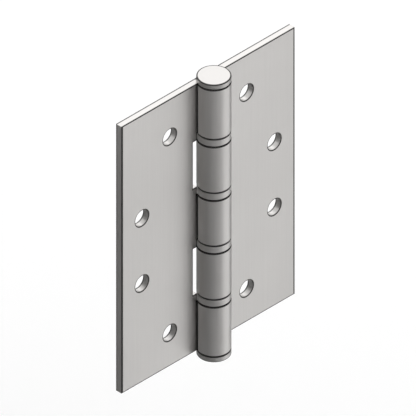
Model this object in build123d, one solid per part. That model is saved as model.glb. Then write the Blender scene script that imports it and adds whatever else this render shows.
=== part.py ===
from build123d import *
import os
from math import cos, hypot, pi, radians, sin, sqrt, tan

# A five-knuckle door hinge with four thrust ball bearings, opened flat. Millimetres.
# The origin is on the pin's axis at mid-height. +X runs out along the door leaf, the leaves' backs face +Y,
# and +Z runs up the pin.

# Leaves
leaf_height = 100.0
open_width = 75.0  # over both leaves laid flat
sheet = 2.5
swage = 0.45  # step of each leaf towards the pin, which narrows the gap when the hinge is shut
swage_radius = 12.0  # blend from the back of a leaf up to its knuckles
edge_break = 0.2

# Screw holes, the same on both leaves
hole_diameter = 5.75
inner_hole_inset = 20.85  # top and bottom holes, from the free edge
outer_hole_inset = 8.82  # two middle holes, from the free edge
first_hole_drop = 14.1  # from the top edge of the leaf
last_hole_rise = 12.4  # from the bottom edge of the leaf

# Pin and knuckles
pin_diameter = 5.7
pin_clearance = 0.05
pin_chamfer = 0.6
end_knuckle_height = 18.5
door_knuckle_height = 17.2
knuckle_chamfer = 0.2
seam_gap = 0.25  # slit between the curled end of the sheet and the face of the leaf
notch_clearance = 1.2  # from a knuckle out to the leaf that is cut away beside it
notch_end_clearance = 0.12

# Tips
tip_height = 2.0
tip_chamfer = 0.2
spigot_length = 4.0
spigot_clearance = 0.02
pin_end_gap = 0.1

# Shadow grooves round the barrel, under each tip and on both sides of each bearing
relief_height = 0.38
relief_depth = 0.8

# Bearings
bearing_height = 2.9
cup_inset = 0.05  # step in from the knuckles to the cup
cup_wall = 0.5
cup_floor = 0.9
cup_leaf_clearance = 0.12  # from the cup to the edges of the leaves beside it
race_thickness = 0.9
race_bore_clearance = 0.2
race_rim_clearance = 0.1
groove_angle = 30.0
ball_diameter = 1.2
ball_count = 6
ball_clearance = 0.05
retainer_thickness = 0.5
retainer_clearance = 0.12

# Radii and faces that follow from the sizes above
pin_radius = pin_diameter / 2
bore_radius = pin_radius + pin_clearance
knuckle_radius = bore_radius + sheet
front_y = bore_radius - swage
back_y = front_y + sheet
cup_radius = knuckle_radius - cup_inset
cup_inner_radius = cup_radius - cup_wall
race_bore_radius = pin_radius + race_bore_clearance
retainer_inner_radius = pin_radius + retainer_clearance
retainer_outer_radius = cup_inner_radius - retainer_clearance
ball_circle_radius = (retainer_inner_radius + retainer_outer_radius) / 2
notch_x = knuckle_radius + notch_clearance
shoulder_x = sqrt(cup_radius**2 - front_y**2) + cup_leaf_clearance
top_z = leaf_height / 2
middle_knuckle_height = leaf_height - 2 * (end_knuckle_height + door_knuckle_height) - 4 * bearing_height
leaf_back = Plane(origin=(0, back_y, 0), x_dir=(1, 0, 0), z_dir=(0, -1, 0))


def stack_levels():
    # Bottom and top of each knuckle, and the mid-height of each bearing, counted down the barrel.
    heights = [end_knuckle_height, door_knuckle_height, middle_knuckle_height]
    heights += [door_knuckle_height, end_knuckle_height]
    knuckles = []
    bearings = []
    level = top_z
    for height in heights:
        knuckles.append((level - height, level))
        bearings.append(level - height - bearing_height / 2)
        level -= height + bearing_height
    return knuckles, bearings[:-1]


def turned(points):
    # A ring or rod from its half section, as radius and height pairs.
    section = Polyline(*[(radius, 0, z) for radius, z in points], close=True)
    return revolve(make_face(section), Axis.Z)


def panel(side, near_x, far_x, low, high):
    # A rectangle on the leaf's own plane, on the left for side -1 and on the right for side 1.
    centre = Pos(side * (near_x + far_x) / 2, (low + high) / 2)
    return centre * Rectangle(far_x - near_x, high - low)


def screw_holes():
    # Evenly spaced down the leaf in a zigzag, as distance from the pin and height.
    insets = [inner_hole_inset, outer_hole_inset, outer_hole_inset, inner_hole_inset]
    pitch = (leaf_height - first_hole_drop - last_hole_rise) / (len(insets) - 1)
    for row, inset in enumerate(insets):
        yield open_width / 2 - inset, top_z - first_hole_drop - row * pitch


def knuckle(side, low, high):
    # The curled sheet, with a slit where its end comes back round to the face of the leaf.
    section = [
        (bore_radius, low),
        (knuckle_radius - knuckle_chamfer, low),
        (knuckle_radius, low + knuckle_chamfer),
        (knuckle_radius, high - knuckle_chamfer),
        (knuckle_radius - knuckle_chamfer, high),
        (bore_radius, high),
    ]
    slit_reach = knuckle_radius + sheet
    slit_place = Pos(side * slit_reach / 2, front_y - seam_gap / 2, (low + high) / 2)
    return turned(section) - slit_place * Box(slit_reach, seam_gap, high - low + sheet)


def swage_blend(side, low, high):
    # Fills the corner between the back of the leaf and the curl with a hollow round, tangent to both.
    centre_y = back_y + swage_radius
    centre_x = sqrt((knuckle_radius + swage_radius) ** 2 - centre_y**2)
    share = knuckle_radius / (knuckle_radius + swage_radius)
    curl_end = (centre_x * share, centre_y * share)
    towards = (curl_end[0] - centre_x, curl_end[1] - centre_y - swage_radius)
    scale = swage_radius / hypot(*towards)
    middle = (centre_x + towards[0] * scale, centre_y + towards[1] * scale)
    depth = sheet / 2
    corners = [(centre_x, back_y), middle, curl_end, (curl_end[0], back_y - depth), (centre_x, back_y - depth)]
    start, halfway, end, inner, outer = [(side * x, y, low + edge_break) for x, y in corners]
    border = ThreePointArc(start, halfway, end) + Polyline(end, inner, outer, start)
    return extrude(make_face(border), high - low - 2 * edge_break, dir=(0, 0, 1))


def leaf(side, own_knuckles, other_knuckles):
    outline = panel(side, shoulder_x, open_width / 2, -top_z, top_z)
    for low, high in other_knuckles:
        outline -= panel(side, 0, notch_x, low - notch_end_clearance, high + notch_end_clearance)
    for low, high in own_knuckles:
        outline += panel(side, 0, notch_x, low, high)
    for x, z in screw_holes():
        outline -= Pos(side * x, z) * Circle(hole_diameter / 2)
    solid = extrude(leaf_back * outline, sheet)
    faces = solid.faces().sort_by(Axis.Y)
    solid = chamfer(faces[0].edges() + faces[-1].edges(), edge_break)
    solid -= Cylinder(bore_radius, leaf_height + sheet)
    for low, high in own_knuckles:
        solid += knuckle(side, low, high)
        solid += swage_blend(side, low, high)
    return solid


def hinge_pin():
    end_z = top_z - spigot_length - pin_end_gap
    return turned([
        (0, -end_z),
        (pin_radius - pin_chamfer, -end_z),
        (pin_radius, pin_chamfer - end_z),
        (pin_radius, end_z - pin_chamfer),
        (pin_radius - pin_chamfer, end_z),
        (0, end_z),
    ])


def tip():
    # A flat button seated on the top of the barrel, with a spigot down the bore.
    spigot_radius = bore_radius - spigot_clearance
    face_radius = knuckle_radius - tip_chamfer
    return turned([
        (0, top_z - spigot_length),
        (spigot_radius - tip_chamfer, top_z - spigot_length),
        (spigot_radius, top_z - spigot_length + tip_chamfer),
        (spigot_radius, top_z),
        (knuckle_radius - relief_depth, top_z),
        (knuckle_radius - relief_depth, top_z + relief_height),
        (knuckle_radius, top_z + relief_height),
        (knuckle_radius, top_z + tip_height - tip_chamfer),
        (face_radius, top_z + tip_height),
        (0, top_z + tip_height),
    ])


def raceway(face_z):
    # A shallow V all round, its flanks one clearance off the balls, cut upwards from a face above them.
    slope = radians(groove_angle)
    apex_z = (ball_diameter / 2 + ball_clearance) / cos(slope)
    half_width = (apex_z - face_z) / tan(slope)
    return turned([
        (ball_circle_radius - half_width, face_z),
        (ball_circle_radius + half_width, face_z),
        (ball_circle_radius, apex_z),
    ])


def bearing_cup():
    # Floor upwards, against the frame knuckle. The wall hides the balls and stops short of the door knuckle.
    top = bearing_height / 2
    rim = relief_height - top
    seat_radius = knuckle_radius - relief_depth
    solid = turned([
        (race_bore_radius, top),
        (seat_radius, top),
        (seat_radius, top - relief_height),
        (cup_radius, top - relief_height),
        (cup_radius, rim),
        (cup_inner_radius, rim),
        (cup_inner_radius, top - cup_floor),
        (race_bore_radius, top - cup_floor),
    ])
    return solid - raceway(top - cup_floor)


def bearing_race():
    # Modelled floor upwards like the cup, then turned over on to the door knuckle.
    top = bearing_height / 2
    rim_radius = cup_inner_radius - race_rim_clearance
    ring = turned([
        (race_bore_radius, top),
        (rim_radius, top),
        (rim_radius, top - race_thickness),
        (race_bore_radius, top - race_thickness),
    ])
    return Rot(X=180) * (ring - raceway(top - race_thickness))


def ball_places():
    for index in range(ball_count):
        angle = 2 * pi * (index + 0.5) / ball_count
        yield Pos(ball_circle_radius * cos(angle), ball_circle_radius * sin(angle), 0)


def ball_retainer():
    ring = Cylinder(retainer_outer_radius, retainer_thickness)
    ring -= Cylinder(retainer_inner_radius, retainer_thickness)
    for place in ball_places():
        ring -= place * Cylinder(ball_diameter / 2 + ball_clearance, retainer_thickness)
    return ring


def bearing_balls():
    return Compound(children=[place * Sphere(ball_diameter / 2) for place in ball_places()])


knuckle_levels, bearing_levels = stack_levels()
frame_knuckles = knuckle_levels[0::2]
door_knuckles = knuckle_levels[1::2]

parts = {
    "frame_leaf": leaf(-1, frame_knuckles, door_knuckles),
    "door_leaf": leaf(1, door_knuckles, frame_knuckles),
    "hinge_pin": hinge_pin(),
    "top_tip": tip(),
    "bottom_tip": Rot(X=180) * tip(),
}
for number, level in enumerate(bearing_levels, start=1):
    # The frame knuckle is above the first and third bearings and below the other two.
    seat = Pos(0, 0, level) * Rot(X=0 if number % 2 else 180)
    parts[f"bearing_{number}_cup"] = seat * bearing_cup()
    parts[f"bearing_{number}_race"] = seat * bearing_race()
    parts[f"bearing_{number}_retainer"] = seat * ball_retainer()
    parts[f"bearing_{number}_balls"] = seat * bearing_balls()

os.makedirs("parts", exist_ok=True)
for name, shape in parts.items():
    export_step(shape, f"parts/{name}.step")
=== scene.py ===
import math
import bpy
import numpy as np
from mathutils import Matrix, Vector


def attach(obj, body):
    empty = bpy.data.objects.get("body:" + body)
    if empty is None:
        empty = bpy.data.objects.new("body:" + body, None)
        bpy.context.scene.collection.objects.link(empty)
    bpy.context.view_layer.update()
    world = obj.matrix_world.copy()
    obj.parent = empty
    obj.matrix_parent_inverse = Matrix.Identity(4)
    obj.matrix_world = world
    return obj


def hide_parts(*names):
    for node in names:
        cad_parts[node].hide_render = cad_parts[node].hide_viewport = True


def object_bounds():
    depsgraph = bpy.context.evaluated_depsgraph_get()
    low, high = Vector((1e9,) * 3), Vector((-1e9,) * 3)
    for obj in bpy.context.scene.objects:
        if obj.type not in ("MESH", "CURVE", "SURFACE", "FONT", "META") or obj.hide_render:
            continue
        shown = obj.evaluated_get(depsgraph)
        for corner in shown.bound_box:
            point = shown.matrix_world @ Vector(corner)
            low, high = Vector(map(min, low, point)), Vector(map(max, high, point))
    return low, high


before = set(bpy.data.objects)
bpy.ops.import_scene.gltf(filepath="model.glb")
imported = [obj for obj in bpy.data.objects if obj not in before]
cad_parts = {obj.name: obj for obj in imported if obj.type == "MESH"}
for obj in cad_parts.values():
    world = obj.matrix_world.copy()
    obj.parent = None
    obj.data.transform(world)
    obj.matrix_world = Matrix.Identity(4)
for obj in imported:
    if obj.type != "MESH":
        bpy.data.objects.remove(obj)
cadLow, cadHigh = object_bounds()
mm = 0.001  # the sizes below are in millimetres, the scene is in metres
print("frame loaded:", len(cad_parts), "nodes")


def hexLinear(code):
    # sRGB hex to linear: a straight line near black and a power of 2.4 above it
    channels = np.array([int(code[i:i + 2], 16) for i in (0, 2, 4)]) / 255
    linear = np.where(channels <= 0.04045, channels / 12.92, ((channels + 0.055) / 1.055) ** 2.4)
    return (*linear.tolist(), 1.0)


def addNode(tree, kind, settings=None, links=None):
    # one node, its sockets or properties set and its inputs linked, by name or by number
    node = tree.nodes.new(kind)
    for name, value in (settings or {}).items():
        if isinstance(name, int) or name in node.inputs:
            node.inputs[name].default_value = value
        else:
            setattr(node, name, value)
    for name, source in (links or {}).items():
        tree.links.new(source, node.inputs[name])
    return node


def newMaterial(name):
    # a material with an empty node tree
    material = bpy.data.materials.new(name)
    material.use_nodes = True
    material.node_tree.nodes.clear()
    return material, material.node_tree


# A grain is the size of one streak in millimetres, (across, across, along), and relief is its depth. A turned
# one runs in rings, with its sizes across the radius and up the axis. The real lines of a tool are about
# 0.05 mm apart, too fine to show here, so every grain is drawn several times as coarse.
satinSheet = {
    "colour": "CDCBC9", "roughness": (0.36, 0.46), "grain": (0.45, 0.45, 28), "relief": 0.003,
    "tone": 0.03, "turned": False,
}
turnedBar = {
    "colour": "C4C2C0", "roughness": (0.30, 0.42), "grain": (0.3, 0.3, 0.3), "relief": 0.004,
    "tone": 0.03, "turned": True,
}
drawnCup = {
    "colour": "CAC8C6", "roughness": (0.34, 0.44), "grain": (0.25, 0.25, 0.25), "relief": 0.003,
    "tone": 0.03, "turned": True,
}
groundPin = {
    "colour": "BEBCBA", "roughness": (0.22, 0.34), "grain": (0.2, 0.2, 0.5), "relief": 0.002,
    "tone": 0.02, "turned": True,
}
lappedRace = {
    "colour": "B8B8BA", "roughness": (0.10, 0.18), "grain": (0.2, 0.2, 0.2), "relief": 0.001,
    "tone": 0.02, "turned": True,
}
stampedBrass = {
    "colour": "C9A45C", "roughness": (0.30, 0.42), "grain": (0.6, 0.6, 0.6), "relief": 0.003,
    "tone": 0.05, "turned": False,
}
# rolled-over and torn rims, painted near black as outlines; rougher, as the belt and the polish don't reach
# them
rim = {"darker": 0.9, "rougher": 0.1}  # painted shade on the rims, which are also rougher
gapShade = {"darker": 0.75}  # painted shade in the gaps beside the bearings, under the tips and in the slits
cloud = {"size": 35, "tone": 0.02}  # slow drift of tone over a whole piece
noiseSpan = (0.3, 0.7)  # the part of the noise that holds most of its values


def metal(name, look):
    # The grain is noise stretched along the tool's path, which gives relief and roughness. The tone is the
    # grain's share times the cloud's times the painted shade on the rims and in the gaps, both marked on the
    # mesh.
    material, tree = newMaterial(name)
    place = addNode(tree, "ShaderNodeTexCoord").outputs["Object"]
    path = place
    if look["turned"]:
        # radius and height stand in for the coordinates, so the lines close into rings
        level = addNode(tree, "ShaderNodeVectorMath", {"operation": "MULTIPLY", 1: (1, 1, 0)}, {0: place})
        radius = addNode(tree, "ShaderNodeVectorMath", {"operation": "LENGTH"}, {0: level.outputs[0]})
        height = addNode(tree, "ShaderNodeSeparateXYZ", links={0: place})
        path = addNode(tree, "ShaderNodeCombineXYZ", links={
            "X": radius.outputs["Value"], "Z": height.outputs["Z"],
        }).outputs[0]
    streaks = tuple(1 / (size * mm) for size in look["grain"])
    laid = addNode(tree, "ShaderNodeMapping", {"Scale": streaks}, {"Vector": path})
    grain = addNode(tree, "ShaderNodeTexNoise", {"Scale": 1.0, "Detail": 4.0, "Roughness": 0.6}, {
        "Vector": laid.outputs[0],
    }).outputs[0]
    drift = addNode(tree, "ShaderNodeTexNoise", {"Scale": 1 / (cloud["size"] * mm), "Detail": 2.0}, {
        "Vector": place,
    }).outputs[0]
    rimShadeMark = addNode(tree, "ShaderNodeAttribute", {"attribute_name": "rim"}).outputs["Fac"]
    gapShadeMark = addNode(tree, "ShaderNodeAttribute", {"attribute_name": "gapShade"}).outputs["Fac"]

    tone = None
    # the last two rows are painted shade: near black on the rims, darker in the gaps between parts
    for source, span, low, high in (
        (grain, noiseSpan, 1 - look["tone"], 1 + look["tone"]),
        (drift, noiseSpan, 1 - cloud["tone"], 1 + cloud["tone"]),
        (rimShadeMark, (0.0, 1.0), 1.0, 1 - rim["darker"]),
        (gapShadeMark, (0.0, 1.0), 1.0, 1 - gapShade["darker"]),
    ):
        share = addNode(tree, "ShaderNodeMapRange", {
            "From Min": span[0], "From Max": span[1], "To Min": low, "To Max": high,
        }, {"Value": source}).outputs[0]
        if tone is None:
            tone = share
        else:
            tone = addNode(tree, "ShaderNodeMath", {"operation": "MULTIPLY"}, {0: tone, 1: share}).outputs[0]
    colour = addNode(tree, "ShaderNodeHueSaturation", {"Color": hexLinear(look["colour"])}, {"Value": tone})

    rough = addNode(tree, "ShaderNodeMapRange", {
        "From Min": noiseSpan[0], "From Max": noiseSpan[1],
        "To Min": look["roughness"][0], "To Max": look["roughness"][1],
    }, {"Value": grain})
    dull = addNode(tree, "ShaderNodeMath", {"operation": "MULTIPLY_ADD", 1: rim["rougher"]}, {
        0: rimShadeMark, 2: rough.outputs[0],
    })
    bump = addNode(tree, "ShaderNodeBump", {"Strength": 1.0, "Distance": look["relief"] * mm}, {
        "Height": grain,
    })
    shader = addNode(tree, "ShaderNodeBsdfPrincipled", {"Metallic": 1.0}, {
        "Base Color": colour.outputs[0], "Roughness": dull.outputs[0], "Normal": bump.outputs[0],
    })
    addNode(tree, "ShaderNodeOutputMaterial", links={"Surface": shader.outputs[0]})
    return material


steels = {
    # brushed up the leaf: soft upright streaks in the reflections
    "satin_steel": metal("belt-brushed stainless sheet", satinSheet),
    # rings left by the lathe, seen on the flat tops
    "turned_steel": metal("lathe-turned stainless bar", turnedBar),
    # lines round the wall from the drawing die
    "bearing_cup": metal("deep-drawn bright steel", drawnCup),
    # grinding lines round a brighter bar
    "pin_steel": metal("centreless-ground steel bar", groundPin),
    # near mirror with faint lapping rings
    "hardened_steel": metal("lapped bearing steel", lappedRace),
    # warm yellow, mottled by the press
    "retainer_brass": metal("press-stamped brass strip", stampedBrass),
}
# the last word of a node's name says what it is
finishes = {
    "leaf": "satin_steel", "tip": "turned_steel", "cup": "bearing_cup", "pin": "pin_steel",
    "race": "hardened_steel", "balls": "hardened_steel", "retainer": "retainer_brass",
}
for node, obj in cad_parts.items():
    obj.data.materials.clear()
    obj.data.materials.append(steels[finishes[node.split("_")[-1]]])
print("materials done")


shading = {"sharpFrom": 50, "flatWeight": 100}  # degrees between faces, and how far large faces lead


def meshPiece(name, points, faces, marks):
    # points in millimetres, faces as arrays of corners, marks as one number a point for the metal to read
    mesh = bpy.data.meshes.new(name)
    corners = sum([group.tolist() for group in faces], [])
    mesh.from_pydata((points * mm).tolist(), [], corners)
    mesh.polygons.foreach_set("use_smooth", np.ones(len(corners), bool))
    for mark, values in marks.items():
        layer = mesh.attributes.new(mark, "FLOAT", "POINT")
        layer.data.foreach_set("value", np.asarray(values, np.float32))
    mesh.update()
    mesh.set_sharp_from_angle(angle=math.radians(shading["sharpFrom"]))
    piece = bpy.data.objects.new(name, mesh)
    bpy.context.collection.objects.link(piece)
    # large faces lead the normals, so flats stay flat up to their rounded rims
    normals = piece.modifiers.new("flatFacesLead", "WEIGHTED_NORMAL")
    normals.weight = shading["flatWeight"]
    normals.keep_sharp = True
    return piece


def standFor(piece, node, body, slot):
    # the piece hides the CAD node, moves with the node's body and takes the slot's finish
    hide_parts(node)
    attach(piece, body)
    piece.data.materials.append(steels[slot])


# Leaves. Each is a flat stamped blank, (a, z, t) for distance from the pin along the sheet, height and depth,
# rolled round the pin where a is below nought.
leaf = {
    "height": 100, "reach": 37.5, "sheet": 2.5, "bore": 2.9,
    "endKnuckle": 18.5, "doorKnuckle": 17.2, "bearing": 2.9,  # heights down the barrel
    "step": 0.45, "joggle": 3.93, "slit": 0.25,  # rise to the roll, its length, and the gap at the roll's end
    "shoulder": 4.876, "notch": 6.6, "clearance": 0.12,  # where the blank stops at cups and other knuckles
    "edge": 0.38, "freeEdge": 0.62, "holeEdge": 0.33,  # widths of a rim's round: most edges, free end, holes
    "drop": 0.1, "torn": 0.25, "land": 0.22,  # depths: a rim's round, torn wall at the back with painted shade, fade to bright
    "skinFrom": 0.02,  # where a rim's rougher, painted-dark skin starts, out from the rim's inner line
    "holeRadius": 2.875, "innerInset": 20.85, "outerInset": 8.82, "firstDrop": 14.1, "holePitch": 24.5,
    "holePatch": 4.1,  # half the side of the square that a hole is drawn in
    "curlSteps": 84, "joggleSteps": 10, "edgeSteps": 4, "holeSteps": 18, "holeRings": 3,
    "sameLine": 0.001,  # lines this close are one
}
topZ = leaf["height"] / 2
frontY = leaf["bore"] - leaf["step"]  # face of the flat plate
slitY = frontY - leaf["slit"]  # end of the roll
middleRadius = leaf["bore"] + leaf["sheet"] / 2
curlLength = middleRadius * (2 * math.pi - math.acos(slitY / middleRadius))
holes = [
    (leaf["reach"] - leaf[inset], topZ - leaf["firstDrop"] - row * leaf["holePitch"])
    for row, inset in enumerate(("innerInset", "outerInset", "outerInset", "innerInset"))
]
# knuckles as (low, high) down the barrel, one bearing apart; the middle one takes what is left
middleKnuckle = leaf["height"] - 2 * (leaf["endKnuckle"] + leaf["doorKnuckle"]) - 4 * leaf["bearing"]
heights = np.array([
    leaf["endKnuckle"], leaf["doorKnuckle"], middleKnuckle, leaf["doorKnuckle"], leaf["endKnuckle"],
])
lows = topZ - np.cumsum(heights + leaf["bearing"]) + leaf["bearing"]
knuckles = list(zip(lows.tolist(), (lows + heights).tolist()))
bearingLevels = (lows[:-1] - leaf["bearing"] / 2).tolist()


def blankBands(owner):
    # (low, high, nearest a) down the leaf: the whole curl at its own knuckles, the notch at the other leaf's,
    # which are one clearance higher and lower, and the shoulder between them
    spans = []
    for number, (low, high) in enumerate(knuckles):
        if number % 2 == owner:
            spans.append((low, high, -curlLength))
        else:
            low = max(low - leaf["clearance"], -topZ)
            high = min(high + leaf["clearance"], topZ)
            spans.append((low, high, leaf["notch"]))
    bands = []
    for upper, lower in zip(spans, spans[1:]):
        bands += [upper, (lower[1], upper[0], leaf["shoulder"])]
    return bands + spans[-1:]


def rolled(blank, side):
    # flat part: y eases from the plate up to the bore by a smooth step over the joggle.
    # rolled part: the angle round the pin grows in proportion to -a, up to the slit.
    a, z, t = blank.T
    ease = np.clip(a / leaf["joggle"], 0, 1)
    rise = leaf["step"] * (1 - ease ** 2 * (3 - 2 * ease))
    radius = leaf["bore"] + t
    angle = np.clip(-a / curlLength, 0, 1) * (2 * np.pi - np.arccos(slitY / radius))
    x = np.where(a > 0, a, -radius * np.sin(angle))
    y = np.where(a > 0, frontY + rise + t, radius * np.cos(angle))
    return np.column_stack([side * x, y, z])


def edgeProfile(edge):
    # quarter ellipse, straight wall, quarter ellipse: how far out, at what depth and where painted shade
    # lies. The rounds are rougher and painted near black, and so is the wall near the back, where the press
    # tore the sheet.
    first = math.asin(leaf["skinFrom"] / edge)
    turn = np.append(0, np.linspace(first, np.pi / 2, leaf["edgeSteps"] + 1))
    curve = edge * np.sin(turn)
    down = leaf["drop"] * (1 - np.cos(turn))
    skin = (down > 0).astype(float)
    tear = leaf["sheet"] - leaf["drop"] - leaf["torn"]
    wall = [tear, tear - leaf["land"], leaf["drop"] + leaf["land"]]
    out = np.concatenate([curve, np.full(len(wall), edge), curve[::-1]])
    depth = np.concatenate([leaf["sheet"] - down, wall, down[::-1]])
    return out, depth, np.concatenate([skin, [1, 0, 0], skin[::-1]])


def gridLines(bands):
    # a and z of the grid: even steps round the curl and up the joggle, one line an edge's width inside each
    # edge of the blank, and even steps across the square round each hole
    edge = leaf["edge"]
    steps = np.array([
        low + (edge if upper < lower else -edge)
        for (low, _, upper), (_, _, lower) in zip(bands, bands[1:])
    ])
    patch = np.linspace(-leaf["holePatch"], leaf["holePatch"], leaf["holeSteps"] + 1)
    aLines = [
        np.linspace(edge - curlLength, 0, leaf["curlSteps"] + 1),
        np.linspace(0, leaf["joggle"], leaf["joggleSteps"] + 1),
        [leaf["shoulder"] + edge, leaf["notch"] + edge, leaf["reach"] - leaf["freeEdge"]],
    ]
    zLines = [[edge - topZ, topZ - edge], steps]
    for a, z in holes:
        aLines.append(a + patch)
        lines = z + patch
        # a line close to a step would fold the mitred corner
        clear = abs(lines[:, None] - steps).min(axis=1) > 2 * edge
        clear[[0, -1]] = True
        zLines.append(lines[clear])
    aLines, zLines = [np.unique(np.round(np.concatenate(lines), 4)) for lines in (aLines, zLines)]
    return aLines, zLines, steps


def outlineEdges(inside):
    # grid edges with the blank on one side only, as (from, to, outward a, outward z): where the inside flag
    # changes between two neighbouring cells
    rows, columns = inside.shape
    index = np.arange((rows + 1) * (columns + 1)).reshape(rows + 1, columns + 1)
    padded = np.pad(inside, 1).astype(int)
    upright = padded[1:-1, :-1] - padded[1:-1, 1:]
    level = padded[:-1, 1:-1] - padded[1:, 1:-1]
    edges = []
    for change, near, far, outward in (
        (upright, index[:-1], index[1:], (1, 0)),
        (level, index[:, 1:], index[:, :-1], (0, 1)),
    ):
        for sign in (1, -1):
            at = change == sign
            ends = (near[at], far[at]) if sign > 0 else (far[at], near[at])
            edges.append(np.column_stack([*ends, np.tile(np.multiply(outward, sign), (at.sum(), 1))]))
    return np.concatenate(edges)


def withDepth(places, depth):
    # rows of (a, z) with one depth a row, as rows of (a, z, t)
    levels = np.broadcast_to(depth[:, None, None], places.shape[:2] + (1,))
    return np.concatenate([places, levels], axis=-1)


def outlineStrip(flat, inside):
    # the edge profile carried round the outline: each row is the border moved out by the profile's reach,
    # along the sum of the outward directions that meet at a point, which mitres the corners. At the free end
    # the reach is stretched to the wider round.
    edges = outlineEdges(inside)
    border, ends = np.unique(edges[:, :2], return_inverse=True)
    start, end = ends.reshape(-1, 2).T
    mitre = np.zeros((len(border), 2))
    np.add.at(mitre, start, edges[:, 2:])
    np.add.at(mitre, end, edges[:, 2:])
    mitre = np.clip(mitre, -1, 1)
    free = flat[border, 0] > leaf["reach"] - leaf["freeEdge"] - leaf["sameLine"]
    mitre[free, 0] *= leaf["freeEdge"] / leaf["edge"]
    out, depth, dull = [line[1:-1] for line in edgeProfile(leaf["edge"])]
    rows = withDepth(flat[border] + mitre * out[:, None, None], depth)
    # painted shade on the rims, from the profile's marks
    rims = np.broadcast_to(dull[:, None], rows.shape[:2])
    # painted shade lies on the end walls of the knuckles and at the slit
    gapShaded = (out[:, None] == leaf["edge"]) & (flat[border, 0] < leaf["joggle"])
    return border, start, end, rows, rims, gapShaded


def holeStrip(flat, index, aLines, zLines, hole):
    # rows that slide by even shares from a square of grid points to the hole's circle, go through the sheet
    # by the edge profile and slide out again on the other skin
    reach = leaf["holePatch"] + leaf["sameLine"]
    i = np.flatnonzero(abs(zLines - hole[1]) < reach)
    j = np.flatnonzero(abs(aLines - hole[0]) < reach)
    patch = index[i[0]:i[-1] + 1, j[0]:j[-1] + 1]
    square = np.concatenate([patch[0, :-1], patch[:-1, -1], patch[-1, :0:-1], patch[:0:-1, 0]])
    ray = flat[square] - hole
    ray /= np.linalg.norm(ray, axis=1)[:, None]
    out, depth, dull = edgeProfile(leaf["holeEdge"])
    slide = np.linspace(0, 1, leaf["holeRings"], endpoint=False)
    still = np.zeros(len(slide))
    share = np.concatenate([slide, np.ones(len(out)), slide[::-1]])[1:-1]
    pull = np.concatenate([still, out, still])[1:-1]
    depth = np.concatenate([still + leaf["sheet"], depth, still])[1:-1]
    dull = np.concatenate([still, dull, still])[1:-1]
    circle = np.array(hole) + (leaf["holeRadius"] + leaf["holeEdge"] - pull)[:, None, None] * ray
    rows = withDepth(flat[square] + (circle - flat[square]) * share[:, None, None], depth)
    # painted shade on the hole's rims, from the profile's marks
    rims = np.broadcast_to(dull[:, None], rows.shape[:2])
    start = np.roll(np.arange(len(square)), -1)
    return square, start, np.arange(len(square)), rows, rims, np.zeros(rows.shape[:2])


def leafPiece(name, side, owner):
    # two skins on one grid of (a, z), joined round the outline and through each hole by strips, then rolled
    bands = blankBands(owner)
    aLines, zLines, steps = gridLines(bands)
    aMid = (aLines[1:] + aLines[:-1]) / 2
    zMid = (zLines[1:] + zLines[:-1]) / 2
    nearest = np.array([band[2] for band in bands])[np.searchsorted(-steps, -zMid)]
    inside = aMid > nearest[:, None] + leaf["edge"]
    pierced = np.zeros_like(inside)
    for a, z in holes:
        pierced |= (abs(zMid - z) < leaf["holePatch"])[:, None] & (abs(aMid - a) < leaf["holePatch"])

    grid = np.stack(np.meshgrid(aLines, zLines), axis=-1)
    flat = grid.reshape(-1, 2)
    count = len(flat)
    index = np.arange(count).reshape(grid.shape[:2])
    cells = np.stack([index[:-1, :-1], index[:-1, 1:], index[1:, 1:], index[1:, :-1]], axis=-1)
    cells = cells[inside & ~pierced]
    faces = [cells[:, ::-1], cells + count]
    blank = [withDepth(np.stack([flat, flat]), np.array([leaf["sheet"], 0])).reshape(-1, 3)]
    # marks of painted shade: near black on the rims, darker in the gaps between parts
    marks = {"rim": [np.zeros(2 * count)], "gapShade": [np.zeros(2 * count)]}
    total = 2 * count

    strips = [outlineStrip(flat, inside)]
    strips += [holeStrip(flat, index, aLines, zLines, hole) for hole in holes]
    for ring, start, end, rows, rims, gapShaded in strips:
        inner = total + np.arange(rims.size).reshape(rims.shape)
        rings = np.vstack([ring, inner, ring + count])
        upper, lower = rings[:-1], rings[1:]
        quads = np.stack([upper[:, start], upper[:, end], lower[:, end], lower[:, start]], axis=-1)
        faces.append(quads.reshape(-1, 4))
        blank.append(rows.reshape(-1, 3))
        marks["rim"].append(rims.ravel())
        marks["gapShade"].append(gapShaded.ravel())
        total += rims.size

    # grid points outside the blank go, and a leaf on the left is a mirror image with its faces turned back
    faces = np.concatenate(faces)
    used, packed = np.unique(faces, return_inverse=True)
    faces = packed.reshape(faces.shape)[:, ::side]
    marks = {mark: np.concatenate(values)[used] for mark, values in marks.items()}
    return meshPiece(name, rolled(np.concatenate(blank)[used], side), [faces], marks)


standFor(leafPiece("frameLeaf", -1, 0), "frame_leaf", "frame_side", "satin_steel")
standFor(leafPiece("doorLeaf", 1, 1), "door_leaf", "door_side", "satin_steel")
print("leaves done")


# Turned pieces. A profile of (radius, height, fillet) corners is carried round the pin's axis.
lathe = {"segments": 128, "filletSteps": 4}
tip = {
    "radius": 5.4, "top": 52, "seat": 50, "groove": 0.38, "grooveRadius": 4.6,
    "spigotRadius": 2.88, "spigotEnd": 46, "rim": 0.4,  # the last is how far the rougher, painted-dark band on the top reaches from the corner
    "round": 0.2, "soft": 0.04, "crisp": 0.02,
}
cup = {
    "radius": 5.35, "wall": 0.5, "floor": 0.9, "bore": 3.05, "groove": 0.38, "seatRadius": 4.6,
    "raceRadius": 3.85, "raceHalf": 0.35, "raceDepth": 0.2,
    "round": 0.1, "soft": 0.05, "crisp": 0.02,
}


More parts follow.
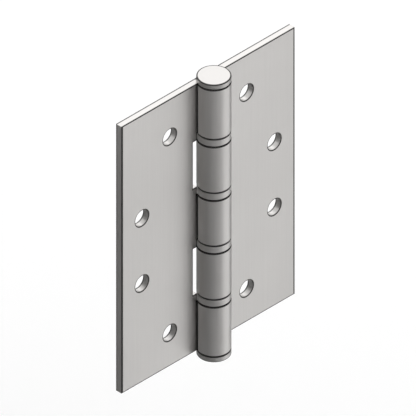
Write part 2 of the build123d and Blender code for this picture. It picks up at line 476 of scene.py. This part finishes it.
def softened(corners, closed):
    # each corner becomes a quadratic curve from one fillet before it to one fillet after it
    corners = np.array(corners)
    here, fillet = corners[:, :2], corners[:, 2:]
    before, after = np.roll(here, 1, axis=0), np.roll(here, -1, axis=0)
    if not closed:
        before[0], after[-1] = (0, here[0, 1]), (0, here[-1, 1])
    start = here + (before - here) / np.linalg.norm(before - here, axis=1)[:, None] * fillet
    end = here + (after - here) / np.linalg.norm(after - here, axis=1)[:, None] * fillet
    s = np.linspace(0, 1, lathe["filletSteps"] + 1)[:, None]
    curve = start[:, None] * (1 - s) ** 2 + 2 * here[:, None] * s * (1 - s) + end[:, None] * s ** 2
    return curve.reshape(-1, 2)


def turned(profile, closed):
    # each profile point goes round a circle of its radius at its height; a closed profile makes a ring, and
    # an open one ends in a fan at the axis
    radius, height = profile.T
    turn = np.linspace(0, 2 * np.pi, lathe["segments"], endpoint=False)
    upright = np.broadcast_to(height[:, None], (len(profile), len(turn)))
    points = np.stack([np.outer(radius, np.cos(turn)), np.outer(radius, np.sin(turn)), upright], axis=-1)
    points = points.reshape(-1, 3)
    rings = np.arange(len(points)).reshape(len(profile), -1)
    if closed:
        rings = np.vstack([rings, rings[:1]])
    after = np.roll(rings, -1, axis=1)
    faces = [np.stack([after[:-1], rings[:-1], rings[1:], after[1:]], axis=-1).reshape(-1, 4)]
    if not closed:
        poles = np.full((2, len(turn)), len(points)) + [[0], [1]]
        points = np.vstack([points, [(0, 0, height[0]), (0, 0, height[-1])]])
        faces.append(np.column_stack([poles[0], rings[0], after[0]]))
        faces.append(np.column_stack([poles[1], after[-1], rings[-1]]))
    return points, faces


def tipCorners():
    # from the rim in the top face, over the round, down to the groove, in to the seat and down the spigot
    rimRadius = tip["radius"] - tip["rim"]
    rimZ = tip["top"] - tip["rim"]
    grooveZ = tip["seat"] + tip["groove"]
    return [
        (rimRadius, tip["top"], tip["crisp"]), (tip["radius"], tip["top"], tip["round"]),
        (tip["radius"], rimZ, tip["crisp"]), (tip["radius"], grooveZ, tip["soft"]),
        (tip["grooveRadius"], grooveZ, tip["soft"]), (tip["grooveRadius"], tip["seat"], tip["crisp"]),
        (tip["spigotRadius"], tip["seat"], tip["crisp"]),
        (tip["spigotRadius"], tip["spigotEnd"], tip["round"]),
    ]


def cupCorners():
    # floor upwards: out along the seat, down the groove and the wall, up inside it and in over the race
    top = leaf["bearing"] / 2
    rimZ = top - cup["groove"]
    floorZ = top - cup["floor"]
    inner = cup["radius"] - cup["wall"]
    return [
        (cup["bore"], top, cup["round"]), (cup["seatRadius"], top, cup["crisp"]),
        (cup["seatRadius"], rimZ, cup["crisp"]), (cup["radius"], rimZ, cup["soft"]),
        (cup["radius"], -rimZ, cup["soft"]), (inner, -rimZ, cup["soft"]), (inner, floorZ, cup["round"]),
        (cup["raceRadius"] + cup["raceHalf"], floorZ, cup["soft"]),
        (cup["raceRadius"], floorZ + cup["raceDepth"], cup["round"]),
        (cup["raceRadius"] - cup["raceHalf"], floorZ, cup["soft"]), (cup["bore"], floorZ, cup["round"]),
    ]


# Half a turn about X puts the same piece at the other end, or the other way up. The limits of the marks fall
# between points of the profile.
points, faces = turned(softened(tipCorners(), False), False)
radius = np.hypot(points[:, 0], points[:, 1])
height = points[:, 2]
below = height < tip["seat"] + tip["groove"] + tip["soft"] / 2
above = height > tip["top"] - 1.5 * tip["round"]
# painted shade: darker in the groove under the head and down the spigot, near black round the top's edge
marks = {
    "gapShade": below & (radius < tip["radius"] - 2 * tip["soft"]),
    "rim": above & (radius > tip["radius"] - tip["rim"] - tip["crisp"] / 4),
}
for end, flip in (("top", 1), ("bottom", -1)):
    piece = meshPiece(end + "Tip", points * (1, flip, flip), faces, marks)
    standFor(piece, end + "_tip", "frame_side", "turned_steel")
points, faces = turned(softened(cupCorners(), True), True)
# painted shade on all but the cup's outer wall: its seat, its groove and its inside
marks = {"gapShade": np.hypot(points[:, 0], points[:, 1]) < cup["radius"] - 1.5 * cup["soft"]}
for number, level in enumerate(bearingLevels, start=1):
    flip = 1 if number % 2 else -1
    piece = meshPiece(f"bearing{number}Cup", points * (1, flip, flip) + (0, 0, level), faces, marks)
    standFor(piece, f"bearing_{number}_cup", "frame_side", "bearing_cup")
print("turned pieces done")


# Stage. The screens and flags are hidden from the camera and only show in the metal. Bearings are in degrees
# round the pin from +X.
def paper(name, colour):
    # matt all over: one even tone with no shine
    material, tree = newMaterial(name)
    shader = addNode(tree, "ShaderNodeBsdfDiffuse", {"Color": hexLinear(colour), "Roughness": 0.5})
    addNode(tree, "ShaderNodeOutputMaterial", links={"Surface": shader.outputs[0]})
    return material, shader


def backdrop(name, points, faces, material):
    # points in millimetres, as a piece of the stage and not of the hinge
    mesh = bpy.data.meshes.new(name)
    mesh.from_pydata((np.asarray(points) * mm).tolist(), [], faces)
    mesh.materials.append(material)
    obj = bpy.data.objects.new(name, mesh)
    bpy.context.collection.objects.link(obj)
    return obj


floor = {"drop": 250, "size": 6000, "colour": "FEFEFE"}
floorZ = cadLow[2] / mm - floor["drop"]
floorPaper, _ = paper("uncoated matt paper", floor["colour"])
corners = np.array([(-1, -1), (1, -1), (1, 1), (-1, 1)])
floorPoints = np.column_stack([corners * floor["size"] / 2, np.full(len(corners), floorZ)])
backdrop("floor", floorPoints, [(0, 1, 2, 3)], floorPaper)

screens = {
    "frontScreen": {
        "from": 160, "to": 288, "gradeFrom": 195, "start": "909090", "end": "F1F1F1",
        "top": 20, "paleFrom": 19,
    },
    "sideScreen": {
        "from": 55, "to": 160, "gradeFrom": 60, "start": "959595", "end": "B8B8B8",
        "top": 120, "paleFrom": 0,
    },
}
screenRing = {"distance": 200, "steps": 30, "footGap": 1}


def gradedScreen(name, look):
    # an upright arc round the pin; its grey goes from start to end along the arc, and to white near the top
    bearing = np.radians(np.linspace(look["from"], look["to"], screenRing["steps"] + 1))
    arc = np.column_stack([np.cos(bearing), np.sin(bearing)]) * screenRing["distance"]
    foot = np.column_stack([arc, np.full(len(arc), floorZ + screenRing["footGap"])])
    head = np.column_stack([arc, np.full(len(arc), look["top"])])
    first = np.arange(screenRing["steps"])
    panes = np.column_stack([first, first + 1, first + len(arc) + 1, first + len(arc)])
    material, shader = paper("airbrushed matt paper, " + name, look["start"])
    tree = material.node_tree
    # half turned, the radial gradient is the bearing as a share of a whole turn
    place = addNode(tree, "ShaderNodeTexCoord").outputs["Object"]
    facing = addNode(tree, "ShaderNodeMapping", {"Rotation": (0, 0, math.pi)}, {"Vector": place})
    share = addNode(tree, "ShaderNodeTexGradient", {"gradient_type": "RADIAL"}, {
        "Vector": facing.outputs[0],
    })
    along = addNode(tree, "ShaderNodeMapRange", {
        "From Min": look["gradeFrom"] / 360, "From Max": look["to"] / 360,
        "To Min": hexLinear(look["start"])[0], "To Max": hexLinear(look["end"])[0],
    }, {"Value": share.outputs["Fac"]})
    height = addNode(tree, "ShaderNodeSeparateXYZ", links={0: place})
    rise = addNode(tree, "ShaderNodeMapRange", {
        "From Min": look["paleFrom"] * mm, "From Max": look["top"] * mm,
    }, {"Value": height.outputs["Z"]})
    grey = addNode(tree, "ShaderNodeMix", {"B": 1.0}, {"Factor": rise.outputs[0], "A": along.outputs[0]})
    tree.links.new(grey.outputs[0], shader.inputs["Color"])
    screen = backdrop(name, np.vstack([foot, head]), panes.tolist(), material)
    screen.visible_camera = False


for name, look in screens.items():
    gradedScreen(name, look)

# narrow upright flags: one keeps the left edge dark, one gives the barrel's right side a thin dark line
flags = {
    "darkFlag": {
        "fromX": cadLow[0] / mm, "bearing": 135, "distance": 50, "width": 70, "low": -170, "high": 45,
        "felt": "pressed grey felt", "colour": "959595",
    },
    "barrelFlag": {
        "fromX": 0, "bearing": -2, "distance": 80, "width": 26, "low": -240, "high": 30,
        "felt": "pressed black felt", "colour": "272727",
    },
}
for name, flag in flags.items():
    bearing = math.radians(flag["bearing"])
    away = np.array([math.cos(bearing), math.sin(bearing)])
    across = np.array([-away[1], away[0]]) * flag["width"] / 2
    sides = np.array([flag["fromX"], 0]) + away * flag["distance"] + across * corners[:, :1]
    levels = np.where(corners[:, 1] < 0, flag["low"], flag["high"])
    felt, _ = paper(flag["felt"], flag["colour"])
    board = backdrop(name, np.column_stack([sides, levels]), [(0, 1, 2, 3)], felt)
    board.visible_camera = False

sky = {"colour": "FFFFFF", "strength": 1.0}
world = bpy.data.worlds.new("studio")
bpy.context.scene.world = world
world.use_nodes = True
world.node_tree.nodes.clear()
glow = addNode(world.node_tree, "ShaderNodeBackground", {
    "Color": hexLinear(sky["colour"]), "Strength": sky["strength"],
})
addNode(world.node_tree, "ShaderNodeOutputWorld", links={"Surface": glow.outputs[0]})

softbox = {"place": (350, 350, 450), "size": 500, "power": 0.68}
light = bpy.data.lights.new("overhead", "AREA")
light.size = softbox["size"] * mm
light.energy = softbox["power"]
lightObject = bpy.data.objects.new("overhead", light)
bpy.context.collection.objects.link(lightObject)
lightObject.location = Vector(softbox["place"]) * mm
lightObject.rotation_euler = (-Vector(softbox["place"])).to_track_quat("-Z", "Y").to_euler()

# the object's origin falls on originPx of the image
shot = {
    "azimuth": -45, "elevation": 35.264, "pxPerMm": 3.2648, "imagePx": 416, "originPx": (213.9, 213.7),
    "distance": 600, "clip": (10, 10000),
}
camera = bpy.data.cameras.new("camera")
camera.type = "ORTHO"
camera.ortho_scale = shot["imagePx"] / shot["pxPerMm"] * mm
camera.clip_start = shot["clip"][0] * mm
camera.clip_end = shot["clip"][1] * mm
cameraObject = bpy.data.objects.new("camera", camera)
bpy.context.collection.objects.link(cameraObject)
azimuth = math.radians(shot["azimuth"])
elevation = math.radians(shot["elevation"])
right = Vector((math.cos(azimuth), math.sin(azimuth), 0))
level = Vector((math.sin(azimuth), -math.cos(azimuth), 0))
back = level * math.cos(elevation) + Vector((0, 0, math.sin(elevation)))
up = back.cross(right)
offRight, offDown = [(px - shot["imagePx"] / 2) / shot["pxPerMm"] for px in shot["originPx"]]
place = (back * shot["distance"] - right * offRight + up * offDown) * mm
turn = Matrix((right, up, back)).transposed()
cameraObject.matrix_world = Matrix.Translation(place) @ turn.to_4x4()
bpy.context.scene.camera = cameraObject
bpy.context.scene.view_settings.view_transform = "Standard"
print("stage, lights and camera done")
